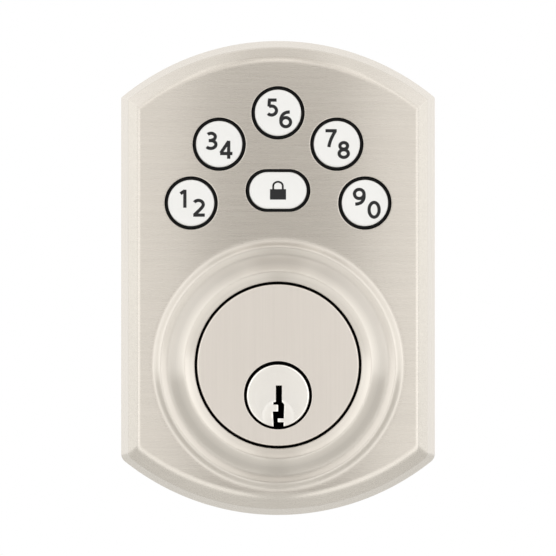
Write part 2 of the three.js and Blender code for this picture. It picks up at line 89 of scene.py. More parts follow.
ROUND_KEYS = {"key_1_2": "12", "key_3_4": "34", "key_5_6": "56", "key_7_8": "78", "key_9_0": "90"}
PLATE_SCREWS = [f"back_plate_screw_{place}"
                for place in ("top_left", "top_right", "bottom_left", "bottom_right")]
CYLINDER_SCREWS = ["cylinder_screw_upper", "cylinder_screw_lower"]
KEY_RADIUS = 5.06
KEY_HOLE_RADIUS = 5.83
LOCK_CAP = (12.55, 8.02)
LOCK_HOLE = (14.2, 9.35)
KEY_LOW, KEY_HIGH = span("key_1_2")

RING_HOLE_RADIUS = 18.25
RING_FOOT_RADIUS = 27.75
PLUG_LOW, PLUG_HIGH = span("plug")
PLUG_Z = middle("plug_end_cap").z
DISC_LOW, DISC_HIGH = span("cylinder_face")
DISC_RADIUS = (DISC_HIGH.x - DISC_LOW.x) / 2


# ---- Outlines ----


def circle(radius, x=0.0, z=0.0, count=96):
    angles = [TAU * i / count for i in range(count)]
    return [(x + radius * math.cos(angle), z + radius * math.sin(angle)) for angle in angles]


def rectangle(half_x, half_z, x=0.0, z=0.0):
    return [(x + sx * half_x, z + sz * half_z) for sx, sz in ((-1, -1), (1, -1), (1, 1), (-1, 1))]


def round_loop(x, z, count):
    """Circles about (x, z), as a function of their radius."""
    return lambda radius: circle(radius, x, z, count)


def stadium(width, height, x=0.0, z=0.0, count=32):
    """A shape with two straight sides and two half-round ends."""
    radius = height / 2
    reach = width / 2 - radius
    points = []
    for side in (1, -1):
        for i in range(count + 1):
            angle = -math.pi / 2 + math.pi * i / count
            across = reach + radius * math.cos(angle)
            points.append((x + side * across, z + side * radius * math.sin(angle)))
    return points


def cover_outline(inset):
    """The cover's outline moved inwards; past the walls' top the sides move in less."""
    side_share = 0.76
    arc, fillet = 72, 8  # steps
    extra = max(0.0, inset - WALL_INSET)
    half_width = HALF_WIDTH - min(inset, WALL_INSET) - extra * side_share
    radius = END_RADIUS - inset
    arc_centre = HALF_HEIGHT - END_RADIUS
    points = []
    for up in (1, -1):
        corner = max(0.2, (TOP_CORNER if up > 0 else BOTTOM_CORNER) - 0.12 * inset)
        fx = half_width - corner
        fz = arc_centre + math.sqrt((radius - corner) ** 2 - fx**2)
        end = math.atan2(fz - arc_centre, fx)
        side = []
        for i in range(fillet + 1):
            angle = end * i / fillet
            side.append((fx + corner * math.cos(angle), fz + corner * math.sin(angle)))
        across = []
        for i in range(1, arc):
            angle = end + (math.pi - 2 * end) * i / arc
            across.append((radius * math.cos(angle), arc_centre + radius * math.sin(angle)))
        mirrored = [(-x, z) for x, z in reversed(side)]
        points += [(up * x, COVER_Z + up * z) for x, z in side + across + mirrored]
    return points


def rounded_path(corners, steps=5, support=0.12):
    """Points (u, v, wear) along a polyline of (u, v, radius) corners whose corners are rounded.

    wear_and_painted_light is +1 on the middle of a rounded corner with a positive radius, which
    lightens it as part worn edge and part painted highlight, and -1 on one with a negative radius,
    which darkens it as painted shade; a support point in the flat keeps the shading of the flat
    clean.
    """
    path = []
    for i, (u, v, radius) in enumerate(corners):
        here = Vector((u, v))
        size = abs(radius)
        if i in (0, len(corners) - 1) or size == 0:
            path.append((u, v, 0.0))
            continue
        before = (Vector(corners[i - 1][:2]) - here).normalized()
        after = (Vector(corners[i + 1][:2]) - here).normalized()
        half = math.acos(max(-1, min(1, before.dot(after)))) / 2
        cut = size / math.tan(half)
        centre = here + (before + after).normalized() * (size / math.sin(half))
        first = here + before * cut
        last = here + after * cut
        start = math.atan2(*(first - centre).yx)
        turn = (math.atan2(*(last - centre).yx) - start + math.pi) % TAU - math.pi
        lead_in = first + before * support
        lead_out = last + after * support
        path.append((lead_in.x, lead_in.y, 0.0))
        for k in range(steps + 1):
            angle = start + turn * k / steps
            # +1 lightens a convex corner, part worn edge and part painted highlight; -1 darkens a
            # concave one as painted shade
            wear_and_painted_light = math.copysign(math.sin(math.pi * (k + 0.5) / (steps + 1)), radius)
            u, v = centre.x + size * math.cos(angle), centre.y + size * math.sin(angle)
            path.append((u, v, wear_and_painted_light))
        path.append((lead_out.x, lead_out.y, 0.0))
    return path


# ---- Meshes ----


class Skin:
    """Rings of points in millimetres and the faces between them."""

    def __init__(self):
        self.points = []
        self.wear_and_painted_light = []
        self.faces = []

    def ring(self, loop, y, wear_and_painted_light=0.0):
        start = len(self.points)
        self.points += [(x, y, z) for x, z in loop]
        self.wear_and_painted_light += [wear_and_painted_light] * len(loop)
        return list(range(start, len(self.points)))

    def bridge(self, first, second):
        count = len(first)
        for i in range(count):
            j = (i + 1) % count
            self.faces.append((first[i], second[i], second[j], first[j]))

    def sweep(self, path, loop_at):
        """Rings loop_at(u) at depth v along path; returns the first and the last ring."""
        rings = [self.ring(loop_at(u), v, wear_and_painted_light) for u, v, wear_and_painted_light in path]
        for first, second in zip(rings, rings[1:]):
            self.bridge(first, second)
        return rings[0], rings[-1]

    def cap(self, *rings):
        """A flat face over the first ring, with the others as holes in it."""
        points = self.points
        loops = [[Vector((points[i][0], points[i][2], 0)) for i in ring] for ring in rings]
        flat = [i for ring in rings for i in ring]
        for triangle in tessellate_polygon(loops):
            self.faces.append(tuple(flat[i] for i in triangle))

    def finish(self, name, material, sharp=None):
        mesh = bpy.data.meshes.new(name)
        mesh.from_pydata([Vector(p) * MM for p in self.points], [], self.faces)
        # this attribute lightens edges (part worn edge, part painted highlight) and paints shade
        # into creases and insides
        wear_and_painted_light = mesh.attributes.new("wear_and_painted_light", "FLOAT", "POINT")
        wear_and_painted_light.data.foreach_set("value", self.wear_and_painted_light)
        return wrap(name, mesh, material, sharp)


def wrap(name, mesh, material, sharp=None):
    """Tidies a mesh, shades it smooth up to the sharp angle in degrees, and makes its object."""
    work = bmesh.new()
    work.from_mesh(mesh)
    bmesh.ops.remove_doubles(work, verts=work.verts, dist=WELD)
    bmesh.ops.recalc_face_normals(work, faces=work.faces)
    work.to_mesh(mesh)
    work.free()
    mesh.shade_smooth()
    if sharp:
        mesh.set_sharp_from_angle(angle=math.radians(sharp))
    piece = new_object(name, mesh)
    coat(piece, material)
    return piece


def new_object(name, data):
    made = bpy.data.objects.new(name, data)
    bpy.context.scene.collection.objects.link(made)
    return made


def coat(piece, material):
    """Gives a piece this one material."""
    piece.data.materials.clear()
    piece.data.materials.append(material)


def turned(name, path, material, x=0.0, z=0.0, count=96, sharp=None):
    """A solid of revolution about the Y axis through (x, z); the path's u is the radius."""
    skin = Skin()
    least = 1e-4  # the ring on the axis is welded to one point
    first, last = skin.sweep(path, lambda radius: circle(max(radius, least), x, z, count))
    skin.cap(first)
    skin.cap(last)
    return skin.finish(name, material, sharp)


def block(name, corners, front, back, edge, material, holes=(), sharp=None):
    """A plate of any outline with rounded edges and holes; a loop is a function of its inset."""
    skin = Skin()
    ends = []
    for loop_at in (corners, *holes):
        path = rounded_path([(edge * 3, front, 0), (0, front, edge), (0, back, edge),
                             (edge * 3, back, 0)], steps=3, support=0.05)
        ends.append(skin.sweep(path, loop_at))
    skin.cap(*[first for first, _ in ends])
    skin.cap(*[last for _, last in ends])
    return skin.finish(name, material, sharp)


def solid_of(piece):
    """A piece's mesh with its modifiers applied, in place of its own."""
    bpy.context.view_layer.update()
    graph = bpy.context.evaluated_depsgraph_get()
    made = bpy.data.meshes.new_from_object(piece.evaluated_get(graph))
    old = piece.data
    piece.modifiers.clear()
    piece.data = made
    bpy.data.meshes.remove(old)


def mend(mesh, flat_angle=None):
    """Removes the faces without area that cuts and bevels leave, and joins flat neighbours."""
    work = bmesh.new()
    work.from_mesh(mesh)
    if flat_angle:
        limit = math.radians(flat_angle)
        bmesh.ops.dissolve_limit(work, angle_limit=limit, verts=work.verts, edges=work.edges)
    bmesh.ops.dissolve_degenerate(work, dist=WELD, edges=work.edges)
    work.to_mesh(mesh)
    work.free()


def carve(piece, cutters, operation="DIFFERENCE"):
    """Cuts or joins pieces with the exact boolean, and removes the tools."""
    for cutter in cutters:
        step = piece.modifiers.new("carve", "BOOLEAN")
        step.operation = operation
        step.solver = "EXACT"
        step.object = cutter
    solid_of(piece)
    mend(piece.data, flat_angle=0.3)
    for cutter in cutters:
        mesh = cutter.data
        bpy.data.objects.remove(cutter)
        bpy.data.meshes.remove(mesh)


def smooth(mesh, sharp):
    """Smooth shading up to the sharp angle in degrees."""
    mesh.shade_smooth()
    mesh.set_sharp_from_angle(angle=math.radians(sharp))


def soften(piece, width):
    """Rounds the sharp edges of a carved piece a little."""
    step = piece.modifiers.new("soften", "BEVEL")
    step.width = width * MM
    step.segments = 2
    step.limit_method = "ANGLE"
    step.angle_limit = math.radians(SHARP)
    solid_of(piece)
    mend(piece.data)
    smooth(piece.data, SHARP)
    flatten = piece.modifiers.new("flatten", "WEIGHTED_NORMAL")
    flatten.keep_sharp = True


# ---- Materials ----


class Nodes:
    """A short way to add and join the nodes of a material or world."""

    # For each kind of mix: its two input sockets and its output socket.
    MIX_SOCKETS = {"RGBA": (6, 7, 2), "VECTOR": (4, 5, 1), "FLOAT": (2, 3, 0)}

    def __init__(self, owner):
        self.owner = owner
        owner.use_nodes = True
        self.tree = owner.node_tree
        self.shader = self.tree.nodes.get("Principled BSDF")

    def add(self, kind, settings=None, **inputs):
        node = self.tree.nodes.new(f"ShaderNode{kind}")
        for key, value in (settings or {}).items():
            setattr(node, key, value)
        for key, value in inputs.items():
            self.put(value, node.inputs[int(key[1:]) if key[1:].isdigit() else key])
        return node

    def put(self, value, socket):
        if isinstance(value, bpy.types.NodeSocket):
            self.tree.links.new(value, socket)
        else:
            socket.default_value = value

    def math(self, operation, first, second=0.0, clamp=False):
        settings = {"operation": operation, "use_clamp": clamp}
        return self.add("Math", settings, i0=first, i1=second).outputs[0]

    def vector(self, operation, first, second=(0, 0, 0)):
        return self.add("VectorMath", {"operation": operation}, i0=first, i1=second).outputs[0]

    def noise(self, vector, scale=1.0, detail=3.0, roughness=0.5):
        return self.add("TexNoise", None, Vector=vector, Scale=scale, Detail=detail,
                        Roughness=roughness).outputs["Fac"]

    def remap(self, value, from_low, from_high, to_low, to_high):
        return self.add("MapRange", None, i0=value, i1=from_low, i2=from_high, i3=to_low,
                        i4=to_high).outputs[0]

    def mix(self, factor, first, second, kind="RGBA"):
        socket_1, socket_2, result = self.MIX_SOCKETS[kind]
        node = self.add("Mix", {"data_type": kind})
        self.put(factor, node.inputs[0])
        self.put(first, node.inputs[socket_1])
        self.put(second, node.inputs[socket_2])
        return node.outputs[result]

    def set(self, socket, value):
        """Joins a value to one of the shader's own sockets, or sets it there."""
        self.put(value, self.shader.inputs[socket])

    def bump(self, height, strength, distance_mm):
        return self.add("Bump", None, Strength=strength, Distance=distance_mm * MM,
                        Height=height).outputs["Normal"]

    def swing(self, noise, amount):
        """Noise about zero instead of a half, times an amount."""
        return self.math("MULTIPLY", self.math("SUBTRACT", noise, 0.5), amount)

    def depth(self, place):
        return self.add("SeparateXYZ", None, i0=place).outputs[1]

    def wear_and_painted_light(self):
        """The wear_and_painted_light attribute, and from it how far an edge is lightened, as part
        worn edge and part painted highlight, and how far a surface is painted near black as shade.
        """
        wear_and_painted_light = self.add("Attribute", {"attribute_name": "wear_and_painted_light"}).outputs["Fac"]
        rubbed_and_highlit = self.math("MAXIMUM", wear_and_painted_light, 0.0)
        inside = self.math("MULTIPLY", self.math("ADD", wear_and_painted_light, 1.0), -1.0, clamp=True)
        return wear_and_painted_light, rubbed_and_highlit, inside

    def paint_inside_shade(self, inside, base):
        """Where inside is 1 the metal is painted near black and dull, as painted shade in place of
        the plated finish.
        """
        self.set("Base Color", self.mix(inside, base, SHADE_BLACK))
        plated = self.math("SUBTRACT", 1.0, inside, clamp=True)
        self.set("Metallic", plated)
        self.set("Specular IOR Level", self.math("MULTIPLY", plated, 0.5))


# near black painted on gap walls, hole walls and hidden insides as painted shade
SHADE_BLACK = (0.012, 0.012, 0.012, 1)
MATERIALS = {}  # by the name of the record's slot


def new_material(name):
    n = Nodes(bpy.data.materials.new(name))
    MATERIALS[name] = n.owner
    return n


def shade(colour, factor):
    return (*[min(1.0, c * factor) for c in colour], 1.0)


# The scale of the grain's noise along X, Y and Z, or for circles along the radius and the depth.
CIRCLE_GRAIN = (7000, 3500, 1)
UPRIGHT_GRAIN = (7500, 3200, 70)
LEVEL_GRAIN = (70, 3200, 7500)
WALL_GRAIN = (70, 3200, 90)


def turned_grain(n, place, x, z):
    """Radius, noise coordinates and outward direction for circles about the axis through (x, z)."""
    centred = n.vector("SUBTRACT", place, (x * MM, 0, z * MM))
    outward = n.vector("MULTIPLY", centred, (1, 0, 1))
    radius = n.add("VectorMath", {"operation": "LENGTH"}, i0=outward).outputs["Value"]
    flat = n.add("CombineXYZ", None, i0=radius, i1=n.depth(place), i2=0.0).outputs[0]
    return radius, n.vector("MULTIPLY", flat, CIRCLE_GRAIN), outward


def straight_grain(n, place, normal):
    """Noise coordinates and the direction across for grain along X, upright on the side walls."""
    sideways = n.math("ABSOLUTE", n.add("SeparateXYZ", None, i0=normal).outputs[0])
    wall = n.remap(sideways, 0.86, 0.94, 0.0, 1.0)
    scale = n.mix(wall, LEVEL_GRAIN, WALL_GRAIN, "VECTOR")
    along = n.mix(wall, (1, 0, 0), (0, 0, 1), "VECTOR")
    return n.vector("MULTIPLY", place, scale), n.vector("CROSS_PRODUCT", normal, along)


def brushed_metal(name, colour, roughness, anisotropy, streaks, upright=False, centre=None,
                  ring=None, painted_shade_from=None):
    """Satin plated metal brushed along X, or upright along Z, or in circles about centre.

    ring is the radius of a round area about the Y axis that is brushed in circles, and
    painted_shade_from the depth behind which the metal is painted near black as shade. Convex edges
    are lightened as part worn edge and part painted highlight, and creases darkened as painted
    shade.
    """
    n = new_material(name)
    place = n.add("TexCoord").outputs["Object"]
    normal = n.add("NewGeometry").outputs["Normal"]
    strength = anisotropy
    if upright:
        fine = n.vector("MULTIPLY", place, UPRIGHT_GRAIN)
        across = n.vector("CROSS_PRODUCT", normal, (0, 0, 1))
    elif centre:
        _, fine, across = turned_grain(n, place, *centre)
    else:
        fine, across = straight_grain(n, place, normal)
    if ring:
        radius, round_fine, outward = turned_grain(n, place, 0, 0)
        outside = n.math("GREATER_THAN", radius, ring * MM)
        fine = n.mix(outside, round_fine, fine, "VECTOR")
        across = n.mix(outside, outward, across, "VECTOR")
        apart = n.math("ABSOLUTE", n.math("SUBTRACT", radius, ring * MM))
        strength = n.remap(apart, 0.0, RING_BLEND * MM, 0.0, anisotropy)
        roughness = n.mix(outside, RING_ROUGHNESS, roughness, "FLOAT")
    hair = n.noise(fine, detail=4.0, roughness=0.65)
    band = n.noise(n.vector("MULTIPLY", fine, (0.25, 0.25, 0.2)), detail=2.0)
    cloud = n.noise(place, scale=45.0, detail=2.0)
    wear_and_painted_light, rubbed_and_highlit, inside = n.wear_and_painted_light()
    # painted shade: concave creases and hollows are darkened
    hollow = n.math("MAXIMUM", n.math("MULTIPLY", wear_and_painted_light, -1.0), 0.0)
    tone = n.math("ADD", n.swing(hair, 0.5 * streaks), n.swing(band, 0.35 * streaks))
    tone = n.math("ADD", tone, n.swing(cloud, 0.12))
    tone = n.math("ADD", tone, 0.5, clamp=True)
    base = n.mix(tone, shade(colour, 0.86), shade(colour, 1.12))
    # convex edges lightened as part worn edge and part painted highlight; then creases darkened as
    # painted shade
    base = n.mix(n.math("MULTIPLY", rubbed_and_highlit, 0.3), base, shade(colour, 1.2))
    base = n.mix(n.math("MULTIPLY", hollow, 0.6), base, shade(colour, 0.6))
    # painted shade: the metal behind a given depth is painted near black
    if painted_shade_from is not None:
        start, full = painted_shade_from * MM, (painted_shade_from + 0.4) * MM
        inside = n.math("MAXIMUM", inside, n.remap(n.depth(place), start, full, 0.0, 1.0))
    n.paint_inside_shade(inside, base)
    rough = n.math("ADD", n.swing(hair, 0.12 * streaks), roughness)
    rough = n.math("SUBTRACT", rough, n.math("MULTIPLY", rubbed_and_highlit, 0.04))
    n.set("Roughness", n.math("ADD", rough, n.math("MULTIPLY", inside, 0.5)))
    n.set("Anisotropic", strength)
    n.set("Tangent", n.vector("NORMALIZE", across))
    n.set("Normal", n.bump(hair, 0.25 * min(1.0, streaks), 0.004))
    return n.owner


def plain_metal(name, colour, roughness):
    """Plated or machined metal with a faint mottle, edges lightened as part worn edge and part
    painted highlight, and painted shade on its insides.
    """
    mottle = 0.25
    n = new_material(name)
    place = n.add("TexCoord").outputs["Object"]
    grain = n.noise(place, scale=2600.0, detail=4.0)
    cloud = n.noise(place, scale=180.0, detail=3.0)
    _, rubbed_and_highlit, inside = n.wear_and_painted_light()
    tone = n.math("ADD", n.swing(cloud, 2 * mottle), n.swing(grain, mottle))
    tone = n.math("ADD", tone, 0.5, clamp=True)
    base = n.mix(tone, shade(colour, 0.8), shade(colour, 1.15))
    # convex edges lightened, part worn edge and part painted highlight
    base = n.mix(n.math("MULTIPLY", rubbed_and_highlit, 0.5), base, shade(colour, 1.35))
    n.paint_inside_shade(inside, base)
    rough = n.remap(cloud, 0.3, 0.7, roughness - 0.06, roughness + 0.08)
    n.set("Roughness", rough)
    n.set("Normal", n.bump(grain, 0.15, 0.01))
    return n.owner


def moulded(name, colour, roughness, grain_scale, grain_depth, variation=0.06, shine=0.5):
    """Plastic, rubber or foam with a fine texture and a slight change of tone."""
    n = new_material(name)
    place = n.add("TexCoord").outputs["Object"]
    grain = n.noise(place, scale=grain_scale, detail=3.0)
    cloud = n.noise(place, scale=120.0, detail=2.0)
    tone = n.remap(cloud, 0.3, 0.7, 0.0, 1.0)
    base = n.mix(tone, shade(colour, 1 - variation), shade(colour, 1 + variation))
    n.set("Base Color", base)
    rough = n.remap(grain, 0.3, 0.7, roughness - 0.05, roughness + 0.05)
    n.set("Roughness", rough)
    n.set("Specular IOR Level", shine)
    n.set("Normal", n.bump(grain, 0.4, grain_depth))
    return n.owner


RING_ROUGHNESS = 0.36
RING_BLEND = 0.6  # over which the brushing fades at the ring's foot
COVER_METAL = brushed_metal("cover_metal", (0.63, 0.595, 0.545), roughness=0.28, anisotropy=0.9,
                            streaks=1.0, ring=RING_FOOT_RADIUS)
DISC_METAL = brushed_metal("disc_metal", (0.64, 0.60, 0.555), roughness=0.3, anisotropy=0.85,
                           streaks=0.6, upright=True)
# the plug's side behind its front edge is painted near black as shade
PLUG_METAL = brushed_metal("plug_metal", (0.88, 0.86, 0.82), roughness=0.32, anisotropy=0.1,
                           streaks=0.5, centre=(0, PLUG_Z), painted_shade_from=PLUG_LOW.y + 0.45)
WHITE_KEY = moulded("white_key", (0.69, 0.69, 0.68), 0.42, 2500.0, 0.004, 0.015)
KEY_PRINT = moulded("key_print", (0.018, 0.018, 0.019), 0.55, 3000.0, 0.003, shine=0.15)
RUBBER = moulded("keypad_rubber", (0.006, 0.006, 0.006), 0.7, 2500.0, 0.01, shine=0.12)
FOAM = moulded("gasket_foam", (0.02, 0.02, 0.02), 0.95, 1400.0, 0.12, 0.3)
BLACK_PLASTIC = moulded("black_plastic", (0.024, 0.025, 0.027), 0.5, 1800.0, 0.02, 0.15)
HEADER_PLASTIC = moulded("header_plastic", (0.75, 0.71, 0.6), 0.5, 2000.0, 0.01)
BOARD = moulded("board", (0.02, 0.12, 0.05), 0.35, 900.0, 0.01, 0.1)
STEEL = plain_metal("plated_steel", (0.60, 0.605, 0.61), 0.36)
SPRING_STEEL = plain_metal("spring_steel", (0.5, 0.5, 0.51), 0.3)
BRASS = plain_metal("brass", (0.62, 0.47, 0.22), 0.3)


def place_piece(piece, body, slot, *nodes):
    """The piece rides on a body and stands for CAD nodes, which are hidden; slot is not used."""
    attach(piece, body)
    if nodes:
        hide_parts(*nodes)


# ---- Cover ----


BOSS_GAP = 0.3  # from a screw boss's end to what it holds
BOSS_BORE = 1.2
SHADED_INSIDE = -2.0  # the wear_and_painted_light value of surfaces painted near black as shade
CREST_RADIUS = 20.6
CREST_HEIGHT = 3.0
BEAD_RADIUS = 25.9
CREASE_RADIUS = 24.1


def ease(value, start, end):
    t = min(1.0, max(0.0, (value - start) / (end - start)))
    return t**3 * (10 - 15 * t + 6 * t * t)


def bell(value, centre, width):
    return math.exp(-(((value - centre) / width) ** 2))


def ramp_up(value, softness):
    """Zero below zero, the value itself above, with a soft bend between."""
    return softness * math.log1p(math.exp(value / softness))


def shade_where(path, is_shaded):
    """The path painted near black as shade at every depth that is_shaded says."""
    return [(u, v, SHADED_INSIDE if is_shaded(v) else wear_and_painted_light) for u, v, wear_and_painted_light in path]


def ring_height(radius):
    """The double ring's height over the face, unscaled: a bead, a sloping hollow and a lip."""
    slope = 0.5 + 0.74 * ramp_up(CREASE_RADIUS - radius, 0.22)
    inner = 3.2 - 0.5 * (CREST_RADIUS - radius)
    soft = 0.16
    lip = -soft * math.log(math.exp(-slope / soft) + math.exp(-inner / soft))
    bead = 0.62 * bell(radius, BEAD_RADIUS, 1.15)
    return (lip + bead) * ease(radius, RING_FOOT_RADIUS, 25.6)


def ring_profile():
    """The double ring from the face inwards, as (radius, depth, wear_and_painted_light): the crests
    lightened as part worn edge and part painted highlight, the sloping hollow and the crease
    darkened as painted shade, the hole's wall painted near black as shade.
    """
    path = [(RING_FOOT_RADIUS + 0.15, FACE_Y, 0.0)]
    steps = 80
    reach = RING_HOLE_RADIUS + 0.45 - RING_FOOT_RADIUS
    radii = [RING_FOOT_RADIUS + reach * i / steps for i in range(steps + 1)]
    lift = CREST_HEIGHT / max(ring_height(radius) for radius in radii)
    for radius in radii:
        # crest and bead lightened, part worn edge and part painted highlight; hollow and crease
        # darkened as painted shade
        wear_and_painted_light = 0.9 * bell(radius, 20.3, 0.9) + 0.8 * bell(radius, BEAD_RADIUS, 1.0)
        wear_and_painted_light -= 0.55 * bell(radius, 22.9, 1.3) + 0.25 * bell(radius, CREASE_RADIUS, 0.4)
        path.append((radius, FACE_Y - lift * ring_height(radius), wear_and_painted_light))
    radius, depth, _ = path[-1]
    hole = RING_HOLE_RADIUS
    edge = rounded_path([(radius, depth, 0), (hole, depth + 0.25, 0.2), (hole, INNER_Y, 0)],
                        steps=4, support=0.04)
    path += edge[1:-1]
    # the hole's wall is painted near black as shade
    return path + [(hole, FACE_Y - 1.4, SHADED_INSIDE), (hole, INNER_Y, SHADED_INSIDE)]


def hole_path(radius):
    """A hole through the face with a rounded front edge."""
    corners = [(radius + 0.8, FACE_Y, 0), (radius, FACE_Y, 0.12), (radius, INNER_Y, 0)]
    front = rounded_path(corners, steps=4, support=0.15)
    # the wall behind the front edge is painted near black as shade
    return front[1:-1] + [(radius, FACE_Y + 0.5, SHADED_INSIDE), (radius, INNER_Y, SHADED_INSIDE)]


def make_cover():
    skin = Skin()
    shell = rounded_path(
        [(7.0, FACE_Y, 0), (4.7, FACE_Y, 2.2), (WALL_INSET, WALL_TOP_Y, 1.6), (0.0, RIM_Y, 0.25),
         (2.2, RIM_Y, 0.2), (4.0, INNER_Y + 2.4, -0.8), (6.6, INNER_Y, -0.6), (8.0, INNER_Y, 0)],
        steps=6,
    )
    rim_index = max(range(len(shell)), key=lambda i: shell[i][1])
    # the bevel edges are lightened a little, part worn edge and part painted highlight; past the
    # rim the inside is painted near black as shade
    edge_wear_and_highlight = 0.2
    shell = [(u, v, SHADED_INSIDE if i > rim_index and u > 1.0 else edge_wear_and_highlight * wear_and_painted_light)
             for i, (u, v, wear_and_painted_light) in enumerate(shell)]
    face_edge, inner_edge = skin.sweep(shell[1:-1], cover_outline)
    openings = [skin.sweep(ring_profile(), round_loop(0, 0, 224))]
    for node in ROUND_KEYS:
        spot = middle(node)
        hole_loop = round_loop(spot.x, spot.z, 80)
        openings.append(skin.sweep(hole_path(KEY_HOLE_RADIUS), hole_loop))
    spot = middle("lock_key")
    width, height = LOCK_HOLE

    def lock_loop(radius):
        grow = 2 * (radius - KEY_HOLE_RADIUS)
        return stadium(width + grow, height + grow, spot.x, spot.z)

    openings.append(skin.sweep(hole_path(KEY_HOLE_RADIUS), lock_loop))
    plate_front = span("back_plate")[0].y - BOSS_GAP
    board_front = span("circuit_board")[0].y - BOSS_GAP
    bosses = [(node, 2.8, plate_front) for node in PLATE_SCREWS]
    bosses += [(f"board_screw_{side}", 2.3, board_front) for side in ("left", "right")]
    for node, radius, end in bosses:
        path = rounded_path([(radius, INNER_Y - 0.6, 0), (radius, end, 0.3), (BOSS_BORE, end, 0.2),
                             (BOSS_BORE, INNER_Y + 0.5, 0)], steps=3)
        spot = middle(node)
        # the bosses inside the cover are painted near black as shade
        path = shade_where(path, lambda v: True)
        first, last = skin.sweep(path, round_loop(spot.x, spot.z, 40))
        skin.cap(first)
        skin.cap(last)
    skin.cap(face_edge, *[front for front, _ in openings])
    skin.cap(inner_edge, *[back for _, back in openings])
    cover = skin.finish("cover", COVER_METAL, sharp=50)
    place_piece(cover, "lock_body", "cover_metal", "escutcheon")


# ---- Keys ----


CROWN_Y = KEY_LOW.y
FLANGE_Y = CROWN_Y + 4.3
FLANGE_BACK_Y = CROWN_Y + 5.1
FLANGE_REACH = 1.3  # of the lock key's flange past its crown
STEM_RADIUS = 2.3


def make_key(node):
    spot = middle(node)
    flange = (KEY_HIGH.x - KEY_LOW.x) / 2
    path = [(0.0, CROWN_Y, 0.0), (3.4, CROWN_Y, 0.0)]
    path += rounded_path(
        [(4.0, CROWN_Y, 0), (KEY_RADIUS, CROWN_Y, 0.5), (KEY_RADIUS, FLANGE_Y, -0.15),
         (flange, FLANGE_Y, 0.15), (flange, FLANGE_BACK_Y, 0.15),
         (STEM_RADIUS, FLANGE_BACK_Y, -0.2), (STEM_RADIUS, KEY_HIGH.y, 0.2), (0.0, KEY_HIGH.y, 0)],
        steps=5, support=0.06,
    )
    key = turned(f"cap_{node}", path, WHITE_KEY, spot.x, spot.z, 80, sharp=50)
    place_piece(key, node, "white_key", node)


def make_lock_key():
    spot = middle("lock_key")
    width, height = LOCK_CAP

    def loop(inset):
        return stadium(width - 2 * inset, height - 2 * inset, spot.x, spot.z)

    skin = Skin()
    path = rounded_path(
        [(1.6, CROWN_Y, 0), (0, CROWN_Y, 0.5), (0, FLANGE_Y, -0.15),
         (-FLANGE_REACH, FLANGE_Y, 0.15), (-FLANGE_REACH, FLANGE_BACK_Y, 0.15),
         (0.6, FLANGE_BACK_Y, 0)],
        steps=5, support=0.06,
    )
    front, back = skin.sweep(path, loop)
    stem = rounded_path(
        [(STEM_RADIUS + 0.8, FLANGE_BACK_Y, 0), (STEM_RADIUS, FLANGE_BACK_Y, -0.2),
         (STEM_RADIUS, KEY_HIGH.y, 0.2), (0.5, KEY_HIGH.y, 0)],
        steps=4, support=0.06,
    )
    root, tip = skin.sweep(stem, round_loop(spot.x, spot.z, 48))
    skin.cap(front)
    skin.cap(back, root)
    skin.cap(tip)
    key = skin.finish("cap_lock_key", WHITE_KEY, sharp=50)
    place_piece(key, "lock_key", "white_key", "lock_key")


# ---- Printed digits and padlock ----

DIGIT_HEIGHT = 3.95
STROKE = 0.72
PRINT_THICKNESS = 0.02


def arc(cx, cy, rx, ry, start, end, steps=28):
    """Points on an ellipse from start to end, in degrees anticlockwise from the right."""
    points = []
    for i in range(steps + 1):
        angle = math.radians(start + (end - start) * i / steps)
        points.append((cx + rx * math.cos(angle), cy + ry * math.sin(angle)))
    return points


def bend(p0, p1, p2, p3, steps=20):
    """Points on a cubic Bezier curve."""
    points = []
    for i in range(steps + 1):
        t = i / steps
        s = 1 - t
        weights = (s**3, 3 * s * s * t, 3 * s * t * t, t**3)
        x, z = (sum(w * p[k] for w, p in zip(weights, (p0, p1, p2, p3))) for k in (0, 1))
        points.append((x, z))
    return points


def glyph_strokes(digit):
    """A digit's strokes about its own centre, as points along the middle of the pen's path."""
    top = (DIGIT_HEIGHT - STROKE) / 2
    end = DIGIT_HEIGHT / 2
    hook = arc(-0.06, top - 0.92, 0.92, 0.92, 148, -8, 24)
    strokes = {
        "0": [arc(0, 0, 0.98, top, 0, 360, 56)],
        "1": [[(0.38, -end), (0.38, end)], [(0.34, end - 0.24), (-0.55, 1.1)]],
        "2": [hook + bend(hook[-1], (0.78, 0.1), (-0.1, -0.75), (-0.88, -top - 0.02), 16)[1:],
              [(-1.05, -top), (1.15, -top)]],
        "3": [arc(-0.12, 0.85, 0.78, top - 0.85, 140, -90, 26),
              arc(-0.18, -0.84, 0.95, 0.86, 90, -142, 30),
              [(-0.55, 0.0), (-0.05, 0.0)]],
        "4": [[(0.5, -end), (0.5, end)],
              [(0.5, end - 0.12), (-1.08, -0.72)],
              [(-1.22, -0.82), (1.25, -0.82)]],
        "5": [[(-0.95, top), (0.85, top)],
              [(-0.66, top), (-0.72, 0.2)],
              arc(-0.2, -0.68, 1.02, 0.98, 122, -138, 34)],
        "6": [arc(0.05, -0.62, 0.95, top - 0.62, 0, 360, 48),
              bend((-0.9, -0.62), (-1.05, 0.7), (-0.45, top), (0.85, top - 0.02), 20)],
        "7": [[(-1.1, top), (1.1, top)],
              bend((0.86, top), (0.3, 0.6), (-0.35, -0.8), (-0.42, -end), 16)],
        "8": [arc(0, 0.9, 0.8, top - 0.9, 0, 360, 44),
              arc(0, -0.78, 0.96, top - 0.78, 0, 360, 48)],
    }
    strokes["9"] = [[(-x, -z) for x, z in stroke] for stroke in strokes["6"]]
    return strokes[digit]


